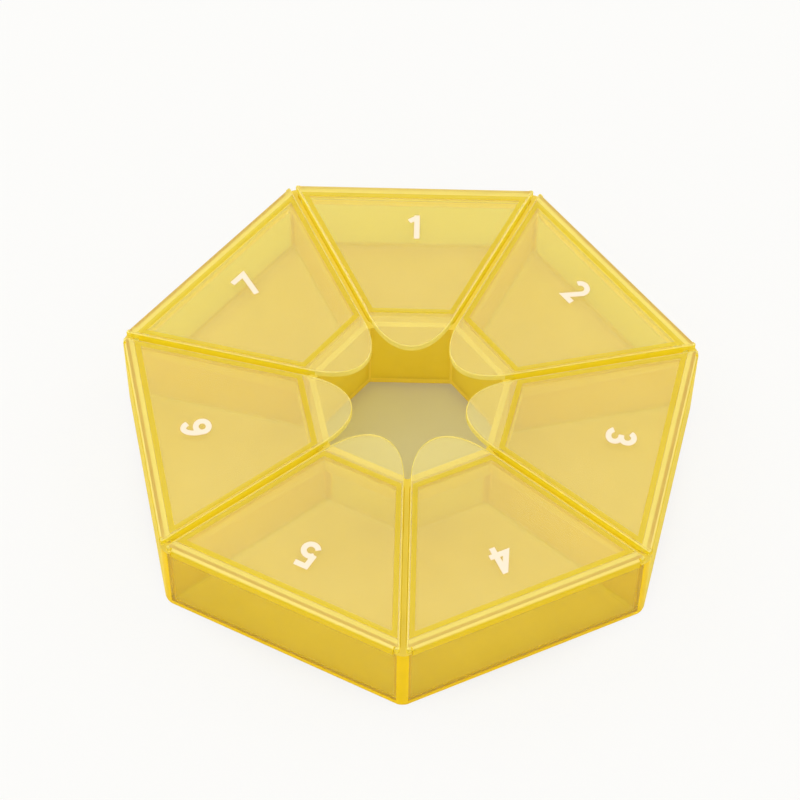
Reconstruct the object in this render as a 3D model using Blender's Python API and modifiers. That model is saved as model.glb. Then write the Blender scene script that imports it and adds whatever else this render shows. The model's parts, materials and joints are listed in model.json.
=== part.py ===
"""Weekly pill organizer: a seven-sided ring tray with a hinged lid over each compartment.

Metres, +Z up. The tray stands on z = 0 and the origin is the middle of the bounding box's
bottom, so the ring's own axis lies a little behind it. Place 1 is at the back (+Y) and the
places run clockwise seen from above. Each lid is made in the frame of its own hinge: x runs
along the hinge, y points away from the ring's axis and z up.
"""

import math

import bmesh
import bpy
from mathutils import Matrix, Vector

# Ring and its compartments
PLACES = 7
RING_APOTHEM = 0.05217
HOLE_APOTHEM = 0.0170
WALL_HEIGHT = 0.0180
OUTER_WALL = 0.0012
INNER_WALL = 0.0012
PARTITION = 0.0009
FLOOR = 0.0012
RING_CORNER_RADIUS = 0.0026
HOLE_CORNER_RADIUS = 0.0006
FOOT_RADIUS = 0.0005
POCKET_CORNER_RADIUS = 0.0008
POCKET_FLOOR_RADIUS = 0.0006

# Film hinge, which lies in a rebate of the wall's top, is flush with the wall's outside and
# ends short of the ring's corners
CORNER_POST = 0.0021
WEB_THICKNESS = 0.0004
WEB_HEIGHT = 0.0009
WEB_WALL_GAP = 0.0003
WEB_LID_GAP = 0.0004

# Lid plate
SEAT_GAP = 0.0003
LID_THICKNESS = 0.0015
LID_SIDE_GAP = 0.0006
EAR_SETBACK = 0.0003
TAB_REACH = 0.0038
LID_CORNER_RADIUS = 0.0004
LID_EDGE_RADIUS = 0.0003

# Rim under the lid, which dips into the compartment, deeper at the tab than at the hinge
RIM_THICKNESS = 0.0013
RIM_SIDE_GAP = 0.0004
RIM_HINGE_GAP = 0.0008
RIM_TAB_GAP = 0.0012
RIM_HINGE_DEPTH = 0.0015
RIM_TAB_DEPTH = 0.0036

# Printed numeral on each lid, drawn with a flat pen
NUMERAL_HEIGHT = 0.0060
NUMERAL_THICKNESS = 0.0001
NUMERAL_GAP = 0.0003
NUMERAL_APOTHEM = 0.0415
PEN_WIDTH = 0.0011

# How far a cutter runs past what it cuts, and the distance at which points are one
OVERRUN = 0.0010
MERGE_DISTANCE = 0.000001

# Steps of the rounded shapes
CORNER_STEPS = 4
TAB_STEPS = 14
EDGE_STEPS = 2
PEN_STEPS = 16

# Angles
TURN = 2 * math.pi / PLACES
HALF_TURN = math.pi / PLACES
SMOOTH_ANGLE = math.radians(35)
FLAT_ANGLE = math.radians(0.05)

# Places worked out from the sizes
HINGE_HEIGHT = WALL_HEIGHT + SEAT_GAP / 2
LID_BOTTOM = WALL_HEIGHT + SEAT_GAP
LID_TOP = LID_BOTTOM + LID_THICKNESS
HINGE_SETBACK = WEB_THICKNESS + WEB_LID_GAP
WEB_HALF = RING_APOTHEM * math.tan(HALF_TURN) - CORNER_POST
STRETCH_HALF = WEB_HALF + WEB_WALL_GAP
RING_TIP = (RING_APOTHEM - RING_CORNER_RADIUS) / math.cos(HALF_TURN) + RING_CORNER_RADIUS
RING_AXIS_Y = (RING_TIP - RING_APOTHEM) / 2

# The pen's strokes for each numeral, in shares of its height from the lower left. A pair is a
# corner. Six values are an arc: its centre, its half widths, and its first and last degrees.
NUMERAL_SHARES = {
    1: [[(0.34, 0.0), (0.34, 1.0)], [(0.08, 0.745), (0.34, 0.905)]],
    2: [[(0.315, 0.69, 0.225, 0.2175, 165, -25), (0.205, 0.0925), (0.58, 0.0925)]],
    3: [
        [(0.29, 0.704, 0.200, 0.204, 160, -90), (0.22, 0.5)],
        [(0.22, 0.5), (0.29, 0.296, 0.2275, 0.204, 90, -160)],
    ],
    4: [[(0.66, 0.30), (0.10, 0.30), (0.45, 0.955)], [(0.45, 0.0), (0.45, 1.0)]],
    5: [
        [(0.55, 0.9075), (0.15, 0.9075), (0.115, 0.44)],
        [(0.29, 0.315, 0.2275, 0.2225, 142, -155)],
    ],
    6: [
        [(0.305, 0.300, 0.215, 0.2075, 0, 360)],
        [(0.330, 0.430, 0.240, 0.4775, 195, 42)],
    ],
    7: [[(0.02, 0.9075), (0.54, 0.9075), (0.232, 0.032)]],
}

# Colours
YELLOW_TRAY = (0.78, 0.56, 0.05, 1.0)
YELLOW_LID = (0.86, 0.70, 0.16, 1.0)
YELLOW_HINGE = (0.84, 0.62, 0.08, 1.0)
PRINT_WHITE = (0.95, 0.94, 0.88, 1.0)

# Roughness of each finish, and the share of the light that passes it
TRAY_ROUGHNESS = 0.15
LID_ROUGHNESS = 0.12
HINGE_ROUGHNESS = 0.25
PRINT_ROUGHNESS = 0.45
TRAY_PASSING_SHARE = 0.5
LID_PASSING_SHARE = 0.6
HINGE_PASSING_SHARE = 0.5


def clear_scene():
    """Remove what the file holds at the start."""
    for obj in list(bpy.data.objects):
        bpy.data.objects.remove(obj, do_unlink=True)


def make_collection(name):
    """Return a new collection under the scene's own."""
    collection = bpy.data.collections.new(name)
    bpy.context.scene.collection.children.link(collection)
    return collection


def make_material(name, colour, roughness, transmission):
    """Return a Principled material."""
    material = bpy.data.materials.new(name)
    material.use_nodes = True
    shader = material.node_tree.nodes["Principled BSDF"]
    shader.inputs["Base Color"].default_value = colour
    shader.inputs["Roughness"].default_value = roughness
    shader.inputs["Metallic"].default_value = 0
    shader.inputs["Transmission Weight"].default_value = transmission
    return material


def side_x(apothem, gap):
    """Return half the width of a place at this distance from the axis, less a gap at its side."""
    return apothem * math.tan(HALF_TURN) - gap / math.cos(HALF_TURN)


def rounded(corners, radii):
    """Return the outline through the corners, each rounded with its own radius."""
    outline = []
    for index, corner in enumerate(corners):
        radius = radii[index]
        if radius == 0:
            outline.append(corner)
            continue
        before = (corners[index - 1] - corner).normalized()
        after = (corners[(index + 1) % len(corners)] - corner).normalized()
        half = before.angle(after) / 2
        centre = corner + (before + after).normalized() * radius / math.sin(half)
        start = corner + before * radius / math.tan(half) - centre
        end = corner + after * radius / math.tan(half) - centre
        sweep = start.angle_signed(end)
        for step in range(CORNER_STEPS + 1):
            turn = Matrix.Rotation(-sweep * step / CORNER_STEPS, 2)
            outline.append(centre + turn @ start)
    return outline


def ring_outline(apothem, radius):
    """Return the rounded regular polygon with one flat side at the back."""
    tip = apothem / math.cos(HALF_TURN)
    corners = []
    for place in range(PLACES):
        angle = math.pi / 2 + HALF_TURN + place * TURN
        corners.append(Vector((tip * math.cos(angle), tip * math.sin(angle))))
    return rounded(corners, [radius] * PLACES)


def place_outline(inner, outer, gap, radius):
    """Return the rounded wedge of one place between two distances from the axis."""
    corners = [
        Vector((side_x(inner, gap), inner)),
        Vector((side_x(outer, gap), outer)),
        Vector((-side_x(outer, gap), outer)),
        Vector((-side_x(inner, gap), inner)),
    ]
    return rounded(corners, [radius] * len(corners))


def lid_outline():
    """Return a lid's outline: a round tab, two straight sides, and ears beside the hinge."""
    tip = HOLE_APOTHEM - TAB_REACH
    centre_y = (tip - LID_SIDE_GAP) / (1 - math.sin(HALF_TURN))
    radius = centre_y - tip
    tab = []
    for step in range(TAB_STEPS + 1):
        angle = HALF_TURN - math.pi + step / TAB_STEPS * (math.pi - TURN)
        tab.append(Vector((radius * math.cos(angle), centre_y + radius * math.sin(angle))))
    ear_y = RING_APOTHEM - EAR_SETBACK
    hinge_y = RING_APOTHEM - HINGE_SETBACK
    edge = [
        Vector((side_x(ear_y, LID_SIDE_GAP), ear_y)),
        Vector((STRETCH_HALF, ear_y)),
        Vector((STRETCH_HALF, hinge_y)),
        Vector((-STRETCH_HALF, hinge_y)),
        Vector((-STRETCH_HALF, ear_y)),
        Vector((-side_x(ear_y, LID_SIDE_GAP), ear_y)),
    ]
    edge_radii = [LID_CORNER_RADIUS, 0, 0, 0, 0, LID_CORNER_RADIUS]
    return rounded(tab + edge, [0] * len(tab) + edge_radii)


def evaluated_mesh(obj, name):
    """Return the object's finished mesh in world space, with loose seams joined."""
    depsgraph = bpy.context.evaluated_depsgraph_get()
    mesh = bpy.data.meshes.new_from_object(obj.evaluated_get(depsgraph))
    mesh.name = name
    mesh.transform(obj.matrix_world)
    work = bmesh.new()
    work.from_mesh(mesh)
    bmesh.ops.remove_doubles(work, verts=work.verts, dist=MERGE_DISTANCE)
    bmesh.ops.dissolve_limit(
        work, angle_limit=FLAT_ANGLE, verts=work.verts, edges=work.edges
    )
    bmesh.ops.recalc_face_normals(work, faces=work.faces)
    work.to_mesh(mesh)
    work.free()
    return mesh


def add_object(name, mesh, collection):
    """Add a mesh to the collection as an object."""
    obj = bpy.data.objects.new(name, mesh)
    collection.objects.link(obj)
    return obj


def flat_solid(name, loops, bottom, top, collection):
    """Add the solid between two heights over an outline, whose later loops are holes."""
    curve = bpy.data.curves.new(name, "CURVE")
    curve.dimensions = "2D"
    curve.fill_mode = "BOTH"
    curve.extrude = (top - bottom) / 2
    for loop in loops:
        spline = curve.splines.new("POLY")
        spline.points.add(len(loop) - 1)
        for point, place in zip(spline.points, loop):
            point.co = (place.x, place.y, 0, 1)
        spline.use_cyclic_u = True
    drawn = bpy.data.objects.new(name + "_outline", curve)
    collection.objects.link(drawn)
    drawn.location.z = (top + bottom) / 2
    bpy.context.view_layer.update()
    mesh = evaluated_mesh(drawn, name)
    bpy.data.objects.remove(drawn, do_unlink=True)
    return add_object(name, mesh, collection)


def box(name, low, high, collection):
    """Add a box between two corners."""
    low = Vector(low)
    high = Vector(high)
    work = bmesh.new()
    size = Matrix.Diagonal((high - low).to_4d())
    bmesh.ops.create_cube(work, size=1, matrix=Matrix.Translation((low + high) / 2) @ size)
    mesh = bpy.data.meshes.new(name)
    work.to_mesh(mesh)
    work.free()
    return add_object(name, mesh, collection)


def round_rim(obj, height, radius):
    """Round the edges that lie at this height with a bevel."""
    mesh = obj.data
    weights = mesh.attributes.new("bevel_weight_edge", "FLOAT", "EDGE")
    for edge in mesh.edges:
        ends = [mesh.vertices[index].co.z for index in edge.vertices]
        level = all(abs(z - height) < MERGE_DISTANCE for z in ends)
        weights.data[edge.index].value = 1 if level else 0
    bevel = obj.modifiers.new("rim", "BEVEL")
    bevel.limit_method = "WEIGHT"
    bevel.offset_type = "OFFSET"
    bevel.width = radius
    bevel.segments = EDGE_STEPS
    return bevel


def ring_of_copies(obj):
    """Replace the object's mesh by one with a turned copy of it at each place."""
    single = evaluated_mesh(obj, obj.name)
    work = bmesh.new()
    for place in range(PLACES):
        turned = single.copy()
        turned.transform(Matrix.Rotation(-place * TURN, 4, "Z"))
        work.from_mesh(turned)
        bpy.data.meshes.remove(turned)
    work.to_mesh(single)
    work.free()
    obj.modifiers.clear()
    obj.data = single


def cut(obj, cutter):
    """Take the cutter's shape out of the object."""
    cutter.hide_render = True
    cutter.display_type = "WIRE"
    boolean = obj.modifiers.new(cutter.name, "BOOLEAN")
    boolean.operation = "DIFFERENCE"
    boolean.solver = "EXACT"
    boolean.object = cutter


def finish(obj, material):
    """Give the object its material and smooth its rounded faces."""
    mesh = obj.data
    mesh.materials.clear()
    mesh.materials.append(material)
    mesh.shade_smooth()
    mesh.set_sharp_from_angle(angle=SMOOTH_ANGLE)


def pocket_cutter(cutters):
    """Add the space of the compartments, above their floors."""
    inner = HOLE_APOTHEM + INNER_WALL
    outer = RING_APOTHEM - OUTER_WALL
    outline = place_outline(inner, outer, PARTITION / 2, POCKET_CORNER_RADIUS)
    cutter = flat_solid("pocket_cutter", [outline], FLOOR, WALL_HEIGHT + OVERRUN, cutters)
    round_rim(cutter, FLOOR, POCKET_FLOOR_RADIUS)
    ring_of_copies(cutter)
    return cutter


def rebate_cutter(cutters):
    """Add the space that the film hinges need in the wall's top."""
    depth = WEB_THICKNESS + WEB_WALL_GAP
    bottom = HINGE_HEIGHT - WEB_HEIGHT / 2 - WEB_WALL_GAP
    low = (-STRETCH_HALF, RING_APOTHEM - depth, bottom)
    high = (STRETCH_HALF, RING_APOTHEM + OVERRUN, WALL_HEIGHT + OVERRUN)
    cutter = box("rebate_cutter", low, high, cutters)
    ring_of_copies(cutter)
    return cutter


def make_tray(parts, cutters, material):
    """Add the ring tray: outer wall, wall round the hole, partitions and floor in one."""
    outside = ring_outline(RING_APOTHEM, RING_CORNER_RADIUS)
    hole = ring_outline(HOLE_APOTHEM, HOLE_CORNER_RADIUS)
    tray = flat_solid("tray", [outside, hole], 0, WALL_HEIGHT, parts)
    round_rim(tray, 0, FOOT_RADIUS)
    cut(tray, pocket_cutter(cutters))
    cut(tray, rebate_cutter(cutters))
    finish(tray, material)
    return tray


def make_rim(cutters):
    """Add the rim under a lid, with a bottom that slopes down from the hinge to the tab."""
    inner = HOLE_APOTHEM + INNER_WALL + RIM_TAB_GAP
    outer = RING_APOTHEM - OUTER_WALL - RIM_HINGE_GAP
    gap = PARTITION / 2 + RIM_SIDE_GAP
    outside = place_outline(inner, outer, gap, POCKET_CORNER_RADIUS)
    inside = place_outline(inner + RIM_THICKNESS, outer - RIM_THICKNESS, gap + RIM_THICKNESS, 0)
    top = LID_BOTTOM + LID_THICKNESS / 2
    rim = flat_solid("rim", [outside, inside], LID_BOTTOM - RIM_TAB_DEPTH, top, cutters)
    for vertex in rim.data.vertices:
        if vertex.co.z < LID_BOTTOM:
            share = (outer - vertex.co.y) / (outer - inner)
            depth = RIM_HINGE_DEPTH + share * (RIM_TAB_DEPTH - RIM_HINGE_DEPTH)
            vertex.co.z = LID_BOTTOM - depth
    return rim


def make_lid_mesh(cutters):
    """Return a lid's mesh in its hinge's frame: the plate with its rim."""
    plate = flat_solid("lid", [lid_outline()], LID_BOTTOM, LID_TOP, cutters)
    round_rim(plate, LID_TOP, LID_EDGE_RADIUS)
    rim = make_rim(cutters)
    union = plate.modifiers.new("rim_union", "BOOLEAN")
    union.operation = "UNION"
    union.solver = "EXACT"
    union.object = rim
    bpy.context.view_layer.update()
    mesh = evaluated_mesh(plate, "lid")
    mesh.transform(Matrix.Translation((0, -RING_APOTHEM, -HINGE_HEIGHT)))
    bpy.data.objects.remove(plate, do_unlink=True)
    bpy.data.objects.remove(rim, do_unlink=True)
    return mesh


def make_web_mesh(cutters):
    """Return the mesh of a film hinge in its hinge's frame."""
    low = (-WEB_HALF, -WEB_THICKNESS, -WEB_HEIGHT / 2)
    high = (WEB_HALF, 0, WEB_HEIGHT / 2)
    strip = box("hinge_web", low, high, cutters)
    mesh = strip.data
    bpy.data.objects.remove(strip, do_unlink=True)
    return mesh


def pen_path(stroke):
    """Return the points along the middle of a stroke."""
    path = []
    for item in stroke:
        if len(item) == 2:
            path.append(Vector(item) * NUMERAL_HEIGHT)
            continue
        centre = Vector(item[:2])
        for step in range(PEN_STEPS + 1):
            angle = math.radians(item[4] + (item[5] - item[4]) * step / PEN_STEPS)
            offset = Vector((item[2] * math.cos(angle), item[3] * math.sin(angle)))
            path.append((centre + offset) * NUMERAL_HEIGHT)
    return path


def pen_side(path, closed, side):
    """Return the line half a pen's width to one side of a path, 1 for its left and -1 for its right."""
    line = []
    last = len(path) - 1
    for index, point in enumerate(path):
        before = path[index - 1] if index > 0 or closed else point
        after = path[(index + 1) % len(path)] if index < last or closed else point
        incoming = (point - before).normalized()
        outgoing = (after - point).normalized()
        along = (incoming + outgoing).normalized()
        across = Vector((-along.y, along.x))
        widening = max(along.dot(incoming), along.dot(outgoing))
        line.append(point + across * side * PEN_WIDTH / 2 / widening)
    return line


def pen_loops(stroke):
    """Return the outline of a stroke, or the two outlines of one that runs into itself."""
    path = pen_path(stroke)
    closed = (path[0] - path[-1]).length < MERGE_DISTANCE
    if closed:
        path.pop()
        return [pen_side(path, True, 1), pen_side(path, True, -1)]
    return [pen_side(path, False, 1) + list(reversed(pen_side(path, False, -1)))]


def make_numeral_mesh(number, cutters):
    """Return the mesh of one printed numeral in its hinge's frame, its top away from the axis."""
    half = NUMERAL_THICKNESS / 2
    strokes = []
    for stroke in NUMERAL_SHARES[number]:
        strokes.append(flat_solid("stroke", pen_loops(stroke), -half, half, cutters))
    for other in strokes[1:]:
        union = strokes[0].modifiers.new("stroke_union", "BOOLEAN")
        union.operation = "UNION"
        union.solver = "EXACT"
        union.object = other
    bpy.context.view_layer.update()
    mesh = evaluated_mesh(strokes[0], "numeral_" + str(number))
    for stroke in strokes:
        bpy.data.objects.remove(stroke, do_unlink=True)
    across = [vertex.co.x for vertex in mesh.vertices]
    along = [vertex.co.y for vertex in mesh.vertices]
    middle = Vector(((min(across) + max(across)) / 2, (min(along) + max(along)) / 2, 0))
    height = LID_TOP + NUMERAL_GAP + half - HINGE_HEIGHT
    place = Vector((0, NUMERAL_APOTHEM - RING_APOTHEM, height))
    mesh.transform(Matrix.Translation(place - middle))
    return mesh


def make_hinge(number, ring_axis, parts):
    """Add the empty on the hinge axis of one place, its y axis pointing out of the ring."""
    turn = Matrix.Rotation(-(number - 1) * TURN, 4, "Z")
    hinge = bpy.data.objects.new("hinge_" + str(number), None)
    parts.objects.link(hinge)
    hinge.parent = ring_axis
    hinge.location = turn @ Vector((0, RING_APOTHEM, HINGE_HEIGHT))
    hinge.rotation_euler = turn.to_euler()
    return hinge


def main():
    """Build the pill organizer."""
    clear_scene()
    parts = make_collection("pill_organizer")
    cutters = make_collection("pill_organizer_cutters")
    tray_plastic = make_material(
        "tray_plastic", YELLOW_TRAY, TRAY_ROUGHNESS, TRAY_PASSING_SHARE
    )
    lid_plastic = make_material("lid_plastic", YELLOW_LID, LID_ROUGHNESS, LID_PASSING_SHARE)
    hinge_plastic = make_material(
        "hinge_plastic", YELLOW_HINGE, HINGE_ROUGHNESS, HINGE_PASSING_SHARE
    )
    print_ink = make_material("print_ink", PRINT_WHITE, PRINT_ROUGHNESS, 0)

    ring_axis = bpy.data.objects.new("ring_axis", None)
    parts.objects.link(ring_axis)
    tray = make_tray(parts, cutters, tray_plastic)
    lid_mesh = make_lid_mesh(cutters)
    web_mesh = make_web_mesh(cutters)
    for number in range(1, PLACES + 1):
        hinge = make_hinge(number, ring_axis, parts)
        lid = add_object("lid_" + str(number), lid_mesh, parts)
        web = add_object("hinge_web_" + str(number), web_mesh, parts)
        numeral_mesh = make_numeral_mesh(number, cutters)
        numeral = add_object("numeral_" + str(number), numeral_mesh, parts)
        finish(lid, lid_plastic)
        finish(web, hinge_plastic)
        finish(numeral, print_ink)
        for piece in (lid, web, numeral):
            piece.parent = hinge

    for piece in [tray] + list(cutters.objects):
        piece.parent = ring_axis
    ring_axis.location.y = RING_AXIS_Y
    bpy.context.view_layer.update()


main()
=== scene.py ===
"""Weekly pill organizer of clear yellow plastic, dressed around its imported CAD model.

The file is laid out as an add-on and is run as a script. Every piece is modelled round the
ring's own axis, with place 1 at the back, and is then moved to where the CAD has it.
"""

import json
import math

import bmesh
import bpy
from mathutils import Matrix, Vector

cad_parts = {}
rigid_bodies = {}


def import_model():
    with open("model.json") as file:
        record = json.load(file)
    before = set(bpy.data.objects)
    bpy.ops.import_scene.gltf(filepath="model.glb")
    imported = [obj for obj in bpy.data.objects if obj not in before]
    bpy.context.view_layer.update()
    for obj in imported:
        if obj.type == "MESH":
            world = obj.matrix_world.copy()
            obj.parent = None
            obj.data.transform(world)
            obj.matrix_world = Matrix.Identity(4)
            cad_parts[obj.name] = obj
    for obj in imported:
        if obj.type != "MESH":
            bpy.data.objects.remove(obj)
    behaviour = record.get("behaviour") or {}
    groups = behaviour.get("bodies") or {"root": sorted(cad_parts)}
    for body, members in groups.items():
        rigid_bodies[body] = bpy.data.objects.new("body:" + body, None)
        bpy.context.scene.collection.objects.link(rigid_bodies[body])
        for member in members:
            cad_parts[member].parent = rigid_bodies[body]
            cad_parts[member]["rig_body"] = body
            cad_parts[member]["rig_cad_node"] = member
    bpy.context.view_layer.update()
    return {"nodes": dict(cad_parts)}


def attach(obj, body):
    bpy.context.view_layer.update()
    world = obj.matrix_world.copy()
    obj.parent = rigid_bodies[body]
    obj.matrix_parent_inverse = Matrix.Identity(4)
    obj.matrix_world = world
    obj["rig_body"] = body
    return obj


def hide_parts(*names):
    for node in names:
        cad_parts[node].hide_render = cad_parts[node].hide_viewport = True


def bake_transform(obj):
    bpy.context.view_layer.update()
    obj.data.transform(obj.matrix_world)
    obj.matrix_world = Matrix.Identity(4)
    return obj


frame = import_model()

bl_info = {
    "name": "Weekly pill organizer",
    "version": (1, 0, 0),
    "blender": (4, 5, 0),
    "location": "View3D > Sidebar > Pill organizer",
    "description": "Builds a seven-sided ring box with seven hinged lids",
    "category": "Add Mesh",
}

# What the CAD model fixes
PLACES = 7
TURN = 2 * math.pi / PLACES
HALF_TURN = math.pi / PLACES
RING_APOTHEM = 0.05217
HOLE_APOTHEM = 0.0170
WALL_HEIGHT = 0.0180
OUTER_WALL = 0.0012
INNER_WALL = 0.0012
PARTITION = 0.0009
HINGE_HEIGHT = 0.01815
SEAT_GAP = 0.0003
LID_BOTTOM = WALL_HEIGHT + SEAT_GAP
RING_CORNER_RADIUS = 0.0026
RING_TIP = (RING_APOTHEM - RING_CORNER_RADIUS) / math.cos(HALF_TURN) + RING_CORNER_RADIUS
RING_AXIS_Y = (RING_TIP - RING_APOTHEM) / 2
STRETCH_HALF = 0.0233
HINGE_SETBACK = 0.0008
NUMERAL_LIFT = 0.0003
HOLE_TIP = HOLE_APOTHEM / math.cos(HALF_TURN)

# How far a cutter runs past what it cuts, and the distance at which points are one
OVERRUN = 0.0010
SAME_PLACE = 0.00001

# Angles below which faces are one flat face, and above which an edge is sharp
FLAT_ANGLE = math.radians(0.1)
SHARP_ANGLE = math.radians(50)

# The films' room in the tray, and their shape: rise, cuts, fold steps and creases
REBATE_DEPTH = 0.0006
REBATE_WIDTH = 0.0007
FILM_RISE = 0.0004
FILM_CUTS = 143
FOLD_STEPS = 8
CREASES = (("crease", 0.0011, 1.0), ("fine_crease", 0.00045, 0.45))

# How far the print is set into the lid
NUMERAL_SINK = 0.00004

# How far up and in the foot's colour reaches, and how wide the posts' colour is
FOOT_LINE = 0.0016
FOOT_STRIP = 0.0030
POST_WIDTH = 0.0013
HOLE_POST_WIDTH = 0.00012

# Upward part of a normal, by which a face counts as level, slanted or upright
FLAT = 0.99
LEVEL = 0.97
UNDERNEATH = 0.95
STEEP = 0.5
SLANTED = 0.3
LIP = 0.25
UNDERCUT = 0.2
UPRIGHT = 0.1

# How deep in colour and how dim each kind of face is, and how much painted light it takes
FILLET_SHARE = 0.55
CORNER_SHARE = 0.9
PARTITION_SHARE = 0.6
HOLE_WALL_SHARE = 0.3
HOLE_DIM_SHARE = 0.22
# The next six are painted light on the walls' tops in the shade between the lids, the lid's margin,
# the hole's sides and the tab, and painted highlights on the fillets and the tab's edge
TOP_SHARE = 0.6
MARGIN_SHARE = 0.9
HOLE_PAINTED_LIGHT_SHARE = 0.6
FILLET_PAINTED_HIGHLIGHT_SHARE = 0.5
TAB_SHARE = 0.2
TAB_EDGE_SHARE = 1.0

# The plastic: its refraction, and shares of light that its faces scatter and let through
REFRACTION = 1.49
SIDE_FROM = 0.85
SIDE_FULL = 0.35
# Haze share of the faces with painted light and painted highlights
PAINTED_LIGHT_SHARE = 0.7
GLOW_LEVEL = 0.25
GLOW_SIDE = 0.6
GLOW_THICK = 0.15
FLANK_FROM = 0.7
FLANK_FULL = 0.92
FLANK_SHARE = 0.75

# The slow waves of the moulded faces, and how much they change roughness and haze
FLOW_SCALE = 110
FLOW_ROUGHNESS = 0.45
WAVE_STRENGTH = 0.12
WAVE_HEIGHT = 0.0006
ROUGH_SPREAD = 0.3
HAZE_SPREAD = 0.15

# The print and the floor
INK_ROUGHNESS = 0.5
FLOOR_SIZE = 3
FLOOR_ROUGHNESS = 0.9
FLOOR_GLOSS = 0.1
WHITER_SHARE = 0.87

# The sky's strength at the horizon and overhead, and each lamp's name, place, size and power
SKY_LOW = 2.08
SKY_HIGH = 0.15
LAMPS = (
    ("left", (-0.90, 0.45, 0.95), 0.7, 3.7),
    ("right", (0.90, 0.45, 0.95), 0.7, 3.7),
    ("fill", (-0.3, -0.7, 1.0), 0.9, 4),
)
BOUNCES = 24
WHITE = (1, 1, 1, 1)

# The photograph's camera: sensor in mm, picture and focal length in pixels, place in ring radii
SENSOR_WIDTH = 36
PICTURE_WIDTH = 800
FOCAL_LENGTH = 2735
CAMERA_PLACE = Vector((0.0336, -5.374, 7.665))
CAMERA_UNIT = 0.0579
AZIMUTH = math.radians(-0.69)
ELEVATION = math.radians(53.87)
ROLL = math.radians(0.73)
NEAREST = 0.01


class TraySettings(bpy.types.PropertyGroup):
    """Sizes and colours of the tray."""

    floor: bpy.props.FloatProperty(
        name="Floor", description="Thickness of the floor", default=0.0012, unit="LENGTH"
    )
    hole_corner: bpy.props.FloatProperty(
        name="Hole corner", description="Radius of the hole's corners", default=0.0006, unit="LENGTH"
    )
    foot: bpy.props.FloatProperty(
        name="Foot", description="Radius along the bottom edge", default=0.0007, unit="LENGTH"
    )
    pocket_corner: bpy.props.FloatProperty(
        name="Pocket corner", description="Radius of a compartment's upright corners",
        default=0.0009, unit="LENGTH"
    )
    pocket_floor: bpy.props.FloatProperty(
        name="Pocket floor", description="Radius along a compartment's floor",
        default=0.0008, unit="LENGTH"
    )
    top_edge: bpy.props.FloatProperty(
        name="Top edge", description="Radius of the walls' top edges", default=0.00014, unit="LENGTH"
    )
    haze_level: bpy.props.FloatProperty(
        name="Level haze", description="Share of light that level faces scatter",
        default=0.55, subtype="FACTOR"
    )
    haze_side: bpy.props.FloatProperty(
        name="Side haze", description="Share of light that upright faces scatter",
        default=0.17, subtype="FACTOR"
    )
    haze_thick: bpy.props.FloatProperty(
        name="Deep haze", description="Share of light that deep faces scatter",
        default=0.80, subtype="FACTOR"
    )
    rough: bpy.props.FloatProperty(
        name="Roughness", description="Roughness of the moulded faces", default=0.045,
        subtype="FACTOR"
    )
    density: bpy.props.FloatProperty(
        name="Density", description="How fast the plastic's colour deepens", default=1150
    )
    depth: bpy.props.FloatVectorProperty(
        name="Depth", description="Colour that the plastic takes with its thickness",
        subtype="COLOR", size=4, default=(0.955, 0.93, 0.0, 1.0)
    )
    deep: bpy.props.FloatVectorProperty(
        name="Deep", description="Colour that thick walls scatter", subtype="COLOR", size=4,
        default=(0.94, 0.65, 0.005, 1.0)
    )
    pass_side: bpy.props.FloatVectorProperty(
        name="Light through sides", description="Share of light that upright faces let on",
        subtype="COLOR", size=4, default=(0.98, 0.95, 0.55, 1.0)
    )
    pale: bpy.props.FloatVectorProperty(
        name="Pale", description="Colour that level faces scatter", subtype="COLOR", size=4,
        default=(1.0, 0.91, 0.75, 1.0)
    )
    gloss: bpy.props.FloatProperty(
        name="Gloss", description="How strongly the plastic reflects", default=0.05, subtype="FACTOR"
    )
    pass_level: bpy.props.FloatVectorProperty(
        name="Light through level faces", description="Share of light that level faces let on",
        subtype="COLOR", size=4, default=(0.86, 0.81, 0.50, 1.0)
    )


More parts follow.
